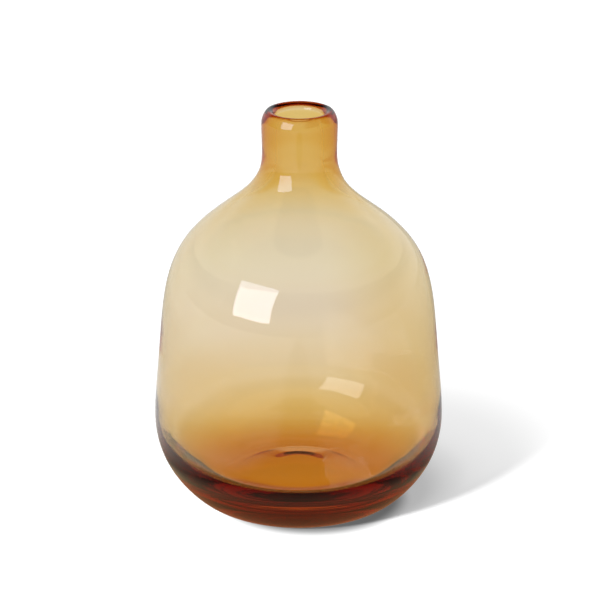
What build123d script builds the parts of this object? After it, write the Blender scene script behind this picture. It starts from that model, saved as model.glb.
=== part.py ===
from build123d import *
import os

# Mouth-blown bud vase in solid amber glass: one continuous revolved wall, thick and
# heavy at the base, thin through the body, thick again at the narrow neck and lip.
# Frame: +Z up, origin at the centre of the foot on the resting plane, millimetres.

# ---- driving dimensions -------------------------------------------------------
height = 150.0            # foot plane to crest of the lip
foot_r = 28.4             # outer edge of the flat that rests on the table
pontil_r = 25.0           # edge of the shallow polished hollow under the foot
pontil_depth = 0.9        # hollow's depth at the axis
bore_r = 8.4              # straight throat of the neck
bore_bottom = 132.4       # where the throat opens into the shoulder
bore_top = 147.4          # where the throat rolls over into the lip
lip_crest_r = 11.3        # radius of the lip's highest ring

# Outer wall, from the foot corner up to the outside of the lip: (radius, height).
outer_wall = [
    (36.2, 2.45), (41.4, 6.6), (46.6, 12.7), (50.85, 20.75), (53.05, 31.05),
    (52.8, 41.75), (51.65, 55.0), (50.45, 69.0), (48.55, 83.35), (43.4, 97.2),
    (34.15, 107.6), (23.9, 115.7), (17.05, 122.6), (14.05, 129.4), (13.6, 137.0),
    (13.8, 144.2), (13.65, 146.5), (13.0, 148.25),
]

# Cavity, from the middle of its floor out and up to the bottom of the throat.
cavity_floor_z = 11.5     # glass under the middle of the floor, foot plane to floor
cavity_wall = [
    (10.0, 11.5), (20.0, 11.55), (26.0, 11.8), (32.0, 12.5), (37.0, 13.7), (42.0, 15.95),
    (46.35, 19.1), (49.9, 23.9), (51.75, 29.9), (52.15, 37.0), (51.7, 45.0),
    (50.6, 55.0), (49.45, 69.0), (47.5, 83.0), (42.4, 96.6), (33.2, 106.5),
    (22.6, 114.2), (14.5, 120.7), (9.9, 126.6),
]

# Polished hollow under the foot, from its edge in to the axis.
hollow = [(18.0, 0.5), (10.0, 0.8)]


def ring_profile():
    """Closed half-section of the wall in the X-Z plane."""
    with BuildSketch(Plane.XZ) as half:
        with BuildLine():
            # axis, from the top of the polished hollow up to the cavity floor
            Line((0, pontil_depth), (0, cavity_floor_z))
            # cavity floor, side and shoulder, ending upright at the throat
            Spline(
                (0, cavity_floor_z), *cavity_wall, (bore_r, bore_bottom),
                tangents=[(1, 0), (0, 1)], tangent_scalars=[1, 1],
            )
            # straight throat
            Line((bore_r, bore_bottom), (bore_r, bore_top))
            # fire-polished inner half of the lip
            Spline(
                (bore_r, bore_top), (lip_crest_r, height),
                tangents=[(0, 1), (1, 0)], tangent_scalars=[1, 1],
            )
            # lip, neck, shoulder and body, down to the foot
            Spline(
                (lip_crest_r, height), *reversed(outer_wall), (foot_r, 0),
                tangents=[(1, 0), (-1, 0)], tangent_scalars=[1, 1],
            )
            # flat ring of the foot
            Line((foot_r, 0), (pontil_r, 0))
            # ground and polished hollow where the pontil came away
            Spline(
                (pontil_r, 0), *hollow, (0, pontil_depth),
                tangents=[(-1, 0.1), (-1, 0)], tangent_scalars=[1, 1],
            )
        make_face()
    return half.sketch


glass_vase = revolve(ring_profile(), axis=Axis.Z, revolution_arc=360)
if isinstance(glass_vase, (list, ShapeList)):
    glass_vase = glass_vase[0]
glass_vase.label = "glass_vase"
glass_vase.color = Color(0.85, 0.55, 0.15)

os.makedirs("parts", exist_ok=True)
export_step(glass_vase, "parts/glass_vase.step")
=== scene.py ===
import bpy
import bmesh
import math
import numpy as np
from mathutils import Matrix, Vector


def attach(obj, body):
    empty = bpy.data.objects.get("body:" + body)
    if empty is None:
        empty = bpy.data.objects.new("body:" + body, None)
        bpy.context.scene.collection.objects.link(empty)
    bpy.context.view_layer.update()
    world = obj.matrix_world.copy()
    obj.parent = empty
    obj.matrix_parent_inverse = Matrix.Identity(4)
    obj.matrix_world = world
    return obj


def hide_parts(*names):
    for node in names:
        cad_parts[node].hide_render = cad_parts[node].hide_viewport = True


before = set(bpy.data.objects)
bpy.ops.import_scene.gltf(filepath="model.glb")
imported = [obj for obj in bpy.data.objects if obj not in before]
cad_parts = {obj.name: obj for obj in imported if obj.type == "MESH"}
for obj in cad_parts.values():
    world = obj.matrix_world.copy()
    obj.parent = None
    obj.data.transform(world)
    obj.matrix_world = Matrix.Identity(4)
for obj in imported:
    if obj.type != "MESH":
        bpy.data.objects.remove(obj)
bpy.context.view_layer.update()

# ------------------------------------------------------------------ profile (mm)
HEIGHT = 150.0
FOOT_R = 28.4
PONTIL_R = 25.0
PONTIL_DEPTH = 0.9
BORE_R = 8.4
BORE_Z0, BORE_Z1 = 132.4, 147.4
LIP_CREST_R = 11.3
OUTER = [
    (36.2, 2.45), (41.4, 6.6), (46.6, 12.7), (50.85, 20.75), (53.05, 31.05),
    (52.8, 41.75), (51.65, 55.0), (50.45, 69.0), (48.55, 83.35), (43.4, 97.2),
    (34.15, 107.6), (23.9, 115.7), (17.05, 122.6), (14.05, 129.4), (13.6, 137.0),
    (13.8, 144.2), (13.65, 146.5), (13.0, 148.25),
]
FLOOR_Z = 11.5
CAVITY = [
    (10.0, 11.5), (20.0, 11.55), (26.0, 11.8), (32.0, 12.5), (37.0, 13.7), (42.0, 15.95),
    (46.35, 19.1), (49.9, 23.9), (51.75, 29.9), (52.15, 37.0), (51.7, 45.0),
    (50.6, 55.0), (49.45, 69.0), (47.5, 83.0), (42.4, 96.6), (33.2, 106.5),
    (22.6, 114.2), (14.5, 120.7), (9.9, 126.6),
]


def spline(pts, t0, t1, step):
    """C2 cubic through pts, chord-length parameter, unit end tangents, sampled every step mm."""
    p = np.array(pts, float)
    h = np.hypot(*np.diff(p, axis=0).T)
    n = len(p)
    a = np.zeros((n, n))
    b = np.zeros((n, 2))
    a[0, 0] = a[-1, -1] = 1.0
    b[0] = np.array(t0, float) / np.linalg.norm(t0)
    b[-1] = np.array(t1, float) / np.linalg.norm(t1)
    for i in range(1, n - 1):
        a[i, i - 1] = h[i]
        a[i, i] = 2 * (h[i - 1] + h[i])
        a[i, i + 1] = h[i - 1]
        b[i] = 3 * (h[i] * (p[i] - p[i - 1]) / h[i - 1] + h[i - 1] * (p[i + 1] - p[i]) / h[i])
    m = np.linalg.solve(a, b)
    out = []
    for i in range(n - 1):
        k = max(2, int(math.ceil(h[i] / step)))
        for j in range(k):
            s = j / k
            out.append(
                (2 * s**3 - 3 * s**2 + 1) * p[i] + (s**3 - 2 * s**2 + s) * h[i] * m[i]
                + (-2 * s**3 + 3 * s**2) * p[i + 1] + (s**3 - s**2) * h[i] * m[i + 1]
            )
    out.append(p[-1])
    return np.array(out)


STEP = 1.0
outer = spline([(FOOT_R, 0)] + OUTER + [(LIP_CREST_R, HEIGHT)], (1, 0), (-1, 0), STEP)
lip_in = spline([(LIP_CREST_R, HEIGHT), (BORE_R, BORE_Z1)], (-1, 0), (0, -1), 0.4)
# cooling rings on the inside floor: start radius, width, rise, azimuth centre and half spread in degrees
RINGS = [(25.0, 2.2, 0.20, 92, 60), (8.9, 2.2, 0.50, 86, 66)]
bore = np.array([(BORE_R, z) for z in np.linspace(BORE_Z1, BORE_Z0, 16)])
cavity = spline([(0, FLOOR_Z)] + CAVITY + [(BORE_R, BORE_Z0)], (1, 0), (0, 1), 0.5)[::-1]
pontil = spline([(0, PONTIL_DEPTH), (10.0, 0.8), (18.0, 0.5), (PONTIL_R, 0)], (1, 0), (1, -0.1), STEP)
foot = np.array([(r, 0.0) for r in np.linspace(PONTIL_R, FOOT_R, 10)])

chain = np.vstack([pontil, foot[1:], outer[1:], lip_in[1:], bore[1:], cavity[1:]])
SEG = 192


def revolve(name, chain, seg):
    """Closed skin of revolution; the chain starts and ends on the axis."""
    ang = np.linspace(0, 2 * math.pi, seg, endpoint=False)
    verts, faces = [], []
    n = len(chain)
    verts.append((0, 0, chain[0][1] / 1000))
    for k in range(1, n - 1):
        r, z = chain[k]
        for a in ang:
            verts.append((r * math.cos(a) / 1000, r * math.sin(a) / 1000, z / 1000))
    verts.append((0, 0, chain[-1][1] / 1000))
    last = len(verts) - 1
    ring = lambda k, j: 1 + (k - 1) * seg + (j % seg)
    for j in range(seg):
        faces.append((0, ring(1, j + 1), ring(1, j)))
        faces.append((last, ring(n - 2, j), ring(n - 2, j + 1)))
    for k in range(1, n - 2):
        for j in range(seg):
            faces.append((ring(k, j), ring(k, j + 1), ring(k + 1, j + 1), ring(k + 1, j)))
    me = bpy.data.meshes.new(name)
    me.from_pydata(verts, [], faces)
    me.validate()
    me.update()
    for p in me.polygons:
        p.use_smooth = True
    ob = bpy.data.objects.new(name, me)
    bpy.context.scene.collection.objects.link(ob)
    return ob


vase = revolve("vase_glass", chain, SEG)
for v in vase.data.vertices:
    r = math.hypot(v.co.x, v.co.y) * 1000
    if r > 45 or not 0.004 < v.co.z < 0.020:
        continue
    if abs(v.co.z * 1000 - np.interp(r, cavity[::-1][:100, 0], cavity[::-1][:100, 1])) > 0.3:
        continue
    az = math.degrees(math.atan2(v.co.y, v.co.x))
    for r0, w, h, c, spread in RINGS:
        f = min(max((r - r0) / w, 0), 1)
        g = max(1 - abs(az - c) / spread, 0)
        g = g * g * (3 - 2 * g)
        bump = h * (f * f * (3 - 2 * f)) * (1 - min(max((r - r0 - w) / (3 * w), 0), 1))
        v.co.z += bump * min(1.6 * g, 1) / 1000
# the neck was finished a hair off the axis of the body
for v in vase.data.vertices:
    v.co.x += np.interp(v.co.z * 1000, [95, 108, 114, 120, 127], [0, -0.35, -0.5, -0.1, 0.37]) / 1000
bm = bmesh.new()
bm.from_mesh(vase.data)
bmesh.ops.recalc_face_normals(bm, faces=bm.faces)
vol = bm.calc_volume(signed=True)
bm.to_mesh(vase.data)
bm.free()
print("glass volume cm3", vol * 1e6, "faces", len(vase.data.polygons))

# ------------------------------------------------------------------ glass
SIGMA = (18.0, 63.0, 196.0)          # absorption per metre, red green blue
density = 230.0
glass = bpy.data.materials.new("amber_glass")
glass.use_nodes = True
nt = glass.node_tree
nt.nodes.clear()
out = nt.nodes.new("ShaderNodeOutputMaterial")
bsdf = nt.nodes.new("ShaderNodeBsdfPrincipled")
bsdf.inputs["Base Color"].default_value = (1, 1, 1, 1)
bsdf.inputs["Roughness"].default_value = 0.0
bsdf.inputs["IOR"].default_value = 1.5
bsdf.inputs["Transmission Weight"].default_value = 1.0
vola = nt.nodes.new("ShaderNodeVolumeAbsorption")
vola.inputs["Color"].default_value = (*[1 - s / density for s in SIGMA], 1)
vola.inputs["Density"].default_value = density
coord = nt.nodes.new("ShaderNodeTexCoord")
smudge = nt.nodes.new("ShaderNodeTexNoise")
smudge.inputs["Scale"].default_value = 38.0
smudge.inputs["Detail"].default_value = 5.0
smudge.inputs["Roughness"].default_value = 0.6
polish = nt.nodes.new("ShaderNodeMapRange")
polish.inputs["From Min"].default_value = 0.35
polish.inputs["From Max"].default_value = 0.80
polish.inputs["To Min"].default_value = 0.002
polish.inputs["To Max"].default_value = 0.030
stretch = nt.nodes.new("ShaderNodeMapping")
stretch.inputs["Scale"].default_value = (1.0, 1.0, 2.6)      # tooling waves run round the vase
wave = nt.nodes.new("ShaderNodeTexNoise")
wave.inputs["Scale"].default_value = 42.0
wave.inputs["Detail"].default_value = 2.0
wave.inputs["Roughness"].default_value = 0.45
bump = nt.nodes.new("ShaderNodeBump")
bump.inputs["Strength"].default_value = 0.5
bump.inputs["Distance"].default_value = 0.00012
nt.links.new(coord.outputs["Object"], smudge.inputs["Vector"])
nt.links.new(smudge.outputs["Fac"], polish.inputs["Value"])
nt.links.new(polish.outputs["Result"], bsdf.inputs["Roughness"])
nt.links.new(coord.outputs["Object"], stretch.inputs["Vector"])
nt.links.new(stretch.outputs["Vector"], wave.inputs["Vector"])
nt.links.new(wave.outputs["Fac"], bump.inputs["Height"])
nt.links.new(bump.outputs["Normal"], bsdf.inputs["Normal"])
nt.links.new(bsdf.outputs[0], out.inputs["Surface"])
nt.links.new(vola.outputs[0], out.inputs["Volume"])
vase.data.materials.append(glass)

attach(vase, "root")
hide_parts("glass_vase")

# ------------------------------------------------------------------ stage
def link(tree, a, b):
    tree.links.new(a, b)


def node(tree, kind, **sockets):
    n = tree.nodes.new(kind)
    for k, v in sockets.items():
        n.inputs[k.replace("_", " ")].default_value = v
    return n


def maprange(tree, src, a, b, c, d, smooth=True):
    n = tree.nodes.new("ShaderNodeMapRange")
    n.interpolation_type = "SMOOTHSTEP" if smooth else "LINEAR"
    for i, v in enumerate((a, b, c, d)):
        n.inputs[1 + i].default_value = v
    tree.links.new(src, n.inputs[0])
    return n.outputs[0]


def math_(tree, op, a, b=None):
    n = tree.nodes.new("ShaderNodeMath")
    n.operation = op
    for i, v in enumerate((a, b)):
        if v is None:
            continue
        if isinstance(v, (int, float)):
            n.inputs[i].default_value = v
        else:
            tree.links.new(v, n.inputs[i])
    return n.outputs[0]


AMBIENT = 0.36        # floor light that no shadow takes away
KEY_FLOOR = 0.70      # what the shadow-casting light adds
THROUGH = 0.79        # the set as seen through the glass, against the set seen directly

bpy.ops.mesh.primitive_plane_add(size=12.0, location=(0, 0, -0.0001))
floor = bpy.context.object
floor.name = "studio_floor"
floor.visible_diffuse = False
fm = bpy.data.materials.new("studio_white")
fm.use_nodes = True
t = fm.node_tree
t.nodes.clear()
fo = t.nodes.new("ShaderNodeOutputMaterial")
lp = t.nodes.new("ShaderNodeLightPath")
diff = node(t, "ShaderNodeBsdfDiffuse", Color=(0.8, 0.8, 0.8, 1))
emis = node(t, "ShaderNodeEmission", Color=(1, 1, 1, 1), Strength=AMBIENT)
both = t.nodes.new("ShaderNodeAddShader")
link(t, diff.outputs[0], both.inputs[0])
link(t, emis.outputs[0], both.inputs[1])
dim = t.nodes.new("ShaderNodeMixShader")
tc = t.nodes.new("ShaderNodeTexCoord")
def ramp(tree, src, top, stops):
    n = tree.nodes.new("ShaderNodeValToRGB")
    while len(n.color_ramp.elements) < len(stops):
        n.color_ramp.elements.new(0.5)
    for e, (r, c) in zip(n.color_ramp.elements, stops):
        e.position = r / top
        e.color = (*c, 1)
    link(tree, maprange(tree, src, 0.0, top, 0.0, 1.0, False), n.inputs[0])
    return n.outputs[0]


def radius(tree, centre):
    n = tree.nodes.new("ShaderNodeVectorMath")
    n.operation = "DISTANCE"
    link(tree, tc.outputs["Object"], n.inputs[0])
    n.inputs[1].default_value = centre
    return n.outputs["Value"]


# painted soft contact shadow under the curve of the foot, in both the floor's glow and its diffuse colour
contact = maprange(t, radius(t, (0.005, -0.002, 0.0)), 0.0300, 0.0380, 0.30, 1.0)
link(t, math_(t, "MULTIPLY", contact, AMBIENT), emis.inputs["Strength"])
contact_shaded_colour = t.nodes.new("ShaderNodeCombineColor")
for i in range(3):
    link(t, math_(t, "MULTIPLY", contact, 0.8), contact_shaded_colour.inputs[i])
link(t, contact_shaded_colour.outputs[0], diff.inputs["Color"])
ln0 = radius(t, (0.0, 0.0, 0.0))
sp = t.nodes.new("ShaderNodeSeparateXYZ")
link(t, tc.outputs["Object"], sp.inputs[0])
sx, sy = sp.outputs["X"], sp.outputs["Y"]
# painted amber light under and behind the vase, with painted shade where the front of the foot meets the table
POOL = [
    (0.00, (0.92, 0.56, 0.01)), (0.030, (0.88, 0.54, 0.06)), (0.045, (0.87, 0.57, 0.15)), (0.057, (0.89, 0.64, 0.25)),
    (0.072, (0.92, 0.70, 0.35)), (0.097, (0.93, 0.745, 0.47)), (0.125, (0.95, 0.80, 0.57)), (0.165, (0.97, 0.87, 0.72)),
    (0.206, (1.0, 0.95, 0.94)), (0.30, (1, 1, 1)),
]
pool = ramp(t, radius(t, (0.004, 0.004, 0.0)), 0.4, POOL)
def multiply(tree, fac, a, colour):
    n = tree.nodes.new("ShaderNodeMix")
    n.data_type = "RGBA"
    n.blend_type = "MULTIPLY"
    link(tree, fac, n.inputs["Factor"])
    link(tree, a, n.inputs["A"])
    n.inputs["B"].default_value = (*colour, 1)
    return n.outputs["Result"]


# the light gathers in the pool's far right, and the near side is deeper
far_right = math_(t, "MULTIPLY", maprange(t, sx, 0.008, 0.050, 0.0, 1.0),
                  math_(t, "MULTIPLY", maprange(t, sy, 0.045, 0.075, 0.0, 1.0), maprange(t, sy, 0.14, 0.60, 1.0, 0.0)))
pool = multiply(t, far_right, pool, (0.91, 0.81, 0.58))
near = math_(t, "MULTIPLY", maprange(t, sy, -0.110, -0.055, 1.0, 0.0), maprange(t, ln0, 0.085, 0.420, 1.0, 0.0))
pool = multiply(t, near, pool, (0.96, 0.86, 0.56))
foot_shade = math_(t, "MULTIPLY", maprange(t, sy, -0.020, -0.010, 1.0, 0.0),
                  math_(t, "MULTIPLY", maprange(t, ln0, 0.020, 0.027, 0.0, 1.0), maprange(t, ln0, 0.045, 0.075, 1.0, 0.0)))
pool_with_foot_shade = t.nodes.new("ShaderNodeMix")
pool_with_foot_shade.data_type = "RGBA"
link(t, foot_shade, pool_with_foot_shade.inputs["Factor"])
link(t, pool, pool_with_foot_shade.inputs["A"])
pool_with_foot_shade.inputs["B"].default_value = (0.60, 0.23, 0.015, 1)
pool = pool_with_foot_shade.outputs["Result"]
lit = node(t, "ShaderNodeEmission", Strength=1.06 * THROUGH)
link(t, pool, lit.inputs["Color"])
link(t, lp.outputs["Is Transmission Ray"], dim.inputs[0])
link(t, both.outputs[0], dim.inputs[1])
link(t, lit.outputs[0], dim.inputs[2])
# the table as the outside of the glass reflects it: dark round the foot, lit beyond, dim on the camera side
mir = ramp(t, ln0, 0.6, [
    (0.040, (0.42, 0.18, 0.08)), (0.047, (0.42, 0.21, 0.10)), (0.054, (0.54, 0.37, 0.21)), (0.066, (0.53, 0.43, 0.33)), (0.090, (0.76, 0.71, 0.65)),
    (0.120, (0.96, 0.93, 0.90)), (0.160, (0.72, 0.71, 0.70)), (0.200, (0.52, 0.51, 0.50)), (0.300, (0.46, 0.46, 0.45)), (0.5, (0.70, 0.70, 0.69)),
])
side = math_(t, "MAXIMUM", maprange(t, sy, -0.06, 0.09, 0.05, 1.0), maprange(t, ln0, 0.050, 0.075, 1.0, 0.0))
side = math_(t, "MAXIMUM", side, maprange(t, math_(t, "ABSOLUTE", sx), 0.036, 0.090, 0.0, 1.0))
shade = maprange(t, sx, 0.00, 0.09, 1.0, 0.62)
mirror = node(t, "ShaderNodeEmission")
link(t, mir, mirror.inputs["Color"])
link(t, math_(t, "MULTIPLY", side, shade), mirror.inputs["Strength"])
seen = t.nodes.new("ShaderNodeMixShader")
link(t, lp.outputs["Is Reflection Ray"], seen.inputs[0])
link(t, dim.outputs[0], seen.inputs[1])
link(t, mirror.outputs[0], seen.inputs[2])
link(t, seen.outputs[0], fo.inputs["Surface"])
floor.data.materials.append(fm)

scene = bpy.context.scene
world = bpy.data.worlds.new("studio")
scene.world = world
world.use_nodes = True
t = world.node_tree
t.nodes.clear()
wo = t.nodes.new("ShaderNodeOutputWorld")
tc = t.nodes.new("ShaderNodeTexCoord")
sep = t.nodes.new("ShaderNodeSeparateXYZ")
link(t, tc.outputs["Generated"], sep.inputs[0])
lp = t.nodes.new("ShaderNodeLightPath")
# pale table and low sweep, darker room higher up; the front side is dark in reflections
low = maprange(t, sep.outputs["Z"], 0.10, 0.36, 1.0, 0.0)
band = math_(t, "MULTIPLY", maprange(t, sep.outputs["Z"], 0.46, 0.57, 0.0, 0.13), maprange(t, sep.outputs["Z"], 0.62, 0.78, 1.0, 0.0))
sweep = maprange(t, sep.outputs["Z"], 0.36, 0.66, 1.0, 0.0)
gloss = math_(t, "ADD", 0.02, math_(t, "MULTIPLY", maprange(t, sep.outputs["Y"], -0.1, 0.7, 0.0, 0.75), sweep))
trans = math_(t, "ADD", math_(t, "ADD", 0.075, band), math_(t, "MULTIPLY", low, 1.06 * THROUGH - 0.075))
strength = math_(t, "ADD",
                 math_(t, "MULTIPLY", lp.outputs["Is Camera Ray"], 1.06),
                 math_(t, "ADD",
                       math_(t, "MULTIPLY", lp.outputs["Is Reflection Ray"], gloss),
                       math_(t, "MULTIPLY", lp.outputs["Is Transmission Ray"], trans)))
bg = node(t, "ShaderNodeBackground", Color=(1, 1, 1, 1))
link(t, strength, bg.inputs["Strength"])
link(t, bg.outputs[0], wo.inputs["Surface"])
world.cycles.sampling_method = "NONE"

# pale wrap round the neck: keeps the sloping shoulder from showing the dark room
bpy.ops.mesh.primitive_cylinder_add(vertices=96, radius=0.064, depth=0.20, end_fill_type="NOTHING", location=(0, 0, 0.212))
wrap = bpy.context.object
wrap.name = "neck_wrap"
wrap.visible_camera = False
wrap.visible_glossy = False
wrap.visible_diffuse = False
wrap.visible_shadow = False
wm = bpy.data.materials.new("wrap_white")
wm.use_nodes = True
t = wm.node_tree
t.nodes.clear()
ww = t.nodes.new("ShaderNodeOutputMaterial")
tc = t.nodes.new("ShaderNodeTexCoord")
sep = t.nodes.new("ShaderNodeSeparateXYZ")
link(t, tc.outputs["Object"], sep.inputs[0])
glow = node(t, "ShaderNodeEmission", Strength=1.06 * THROUGH)
# the wrap's glow is painted a deeper amber in the band seen through the top of the neck
link(t, ramp(t, math_(t, "ADD", sep.outputs["Z"], 0.100), 0.200, [
    (0.0060, (1.0, 1.0, 1.0)), (0.0105, (0.97, 0.91, 0.70)), (0.0175, (0.94, 0.86, 0.58)), (0.0230, (1.0, 1.0, 1.0)),
]), glow.inputs["Color"])
link(t, glow.outputs[0], ww.inputs["Surface"])
wrap.data.materials.append(wm)

# softbox: only its image in the glass
AZ, EL, DIST, SIDE = math.radians(-41), math.radians(24), 1.6, 0.98
kdir = Vector((math.sin(AZ) * math.cos(EL), -math.cos(AZ) * math.cos(EL), math.sin(EL)))
kl = bpy.data.lights.new("softbox", "AREA")
kl.shape = "SQUARE"
kl.size = SIDE
kl.energy = 18
kl.color = (0.72, 0.78, 1.0)
key = bpy.data.objects.new("softbox", kl)
scene.collection.objects.link(key)
key.location = Vector((0, 0, 0.085)) + kdir * DIST
key.rotation_euler = kdir.to_track_quat("Z", "Y").to_euler()
key.visible_camera = False
key.visible_diffuse = False

# the light that casts the shadow
SAZ, SEL = math.radians(-36), math.radians(27)
sdir = Vector((math.sin(SAZ) * math.cos(SEL), -math.cos(SAZ) * math.cos(SEL), math.sin(SEL)))
sl = bpy.data.lights.new("shadow_light", "SUN")
sl.angle = math.radians(6)
sl.energy = KEY_FLOOR * math.pi / 0.8 / math.sin(SEL)
sun = bpy.data.objects.new("shadow_light", sl)
scene.collection.objects.link(sun)
sun.rotation_euler = sdir.to_track_quat("Z", "Y").to_euler()
sun.visible_camera = False
sun.visible_glossy = False
sun.visible_transmission = False

# a grey stand-in that only this light's shadow sees, so the glass leaves a neutral shadow
proxy_chain = np.vstack([[(0.0, 0.3)], outer + np.array([0, 0.3]), [(0.0, HEIGHT + 0.3)]])
proxy = revolve("shadow_proxy", proxy_chain, 96)
proxy.visible_camera = False
proxy.visible_glossy = False
proxy.visible_transmission = False
proxy.visible_diffuse = False
pm = bpy.data.materials.new("shadow_grey")
pm.use_nodes = True
t = pm.node_tree
t.nodes.clear()
po = t.nodes.new("ShaderNodeOutputMaterial")
tr = t.nodes.new("ShaderNodeBsdfTransparent")
tc = t.nodes.new("ShaderNodeTexCoord")
sep = t.nodes.new("ShaderNodeSeparateXYZ")
link(t, tc.outputs["Object"], sep.inputs[0])
# the thick base holds back most of the light, the thin body next to none
pass_ = ramp(t, sep.outputs["Z"], 0.150, [
    (0.000, (0.01,) * 3), (0.003, (0.015,) * 3), (0.006, (0.05,) * 3), (0.010, (0.30,) * 3), (0.015, (0.51,) * 3),
    (0.020, (0.57,) * 3), (0.026, (0.60,) * 3), (0.033, (0.71,) * 3), (0.042, (0.87,) * 3), (0.062, (0.97,) * 3), (0.085, (1.0,) * 3),
])
link(t, pass_, tr.inputs["Color"])
link(t, tr.outputs[0], po.inputs["Surface"])
proxy.data.materials.append(pm)
blockers = bpy.data.collections.new("blockers")
blockers.objects.link(proxy)
sun.light_linking.blocker_collection = blockers
vase.visible_diffuse = False

# ------------------------------------------------------------------ camera
CEL, CD = math.radians(20.0), 1.205
cam_data = bpy.data.cameras.new("cam")
cam = bpy.data.objects.new("cam", cam_data)
scene.collection.objects.link(cam)
cam.location = (0, -CD * math.cos(CEL), 0.075 + CD * math.sin(CEL))
look = Vector((0, 0, 0.075)) - cam.location
cam.rotation_euler = look.to_track_quat("-Z", "Y").to_euler()
cam_data.sensor_width = 36
cam_data.lens = 3286.0 * 36 / 600
cam_data.shift_x = 1.5 / 600
cam_data.shift_y = 6.156 / 600
cam_data.clip_start = 0.01
cam_data.dof.use_dof = False
scene.camera = cam

scene.view_settings.view_transform = "Standard"
scene.view_settings.look = "None"
scene.cycles.max_bounces = 64
scene.cycles.transmission_bounces = 48
scene.cycles.glossy_bounces = 48
scene.cycles.diffuse_bounces = 4
scene.cycles.transparent_max_bounces = 16
scene.cycles.caustics_refractive = True
scene.cycles.caustics_reflective = True
scene.cycles.blur_glossy = 0.0
scene.cycles.sample_clamp_indirect = 6.0
scene.cycles.use_denoising = True
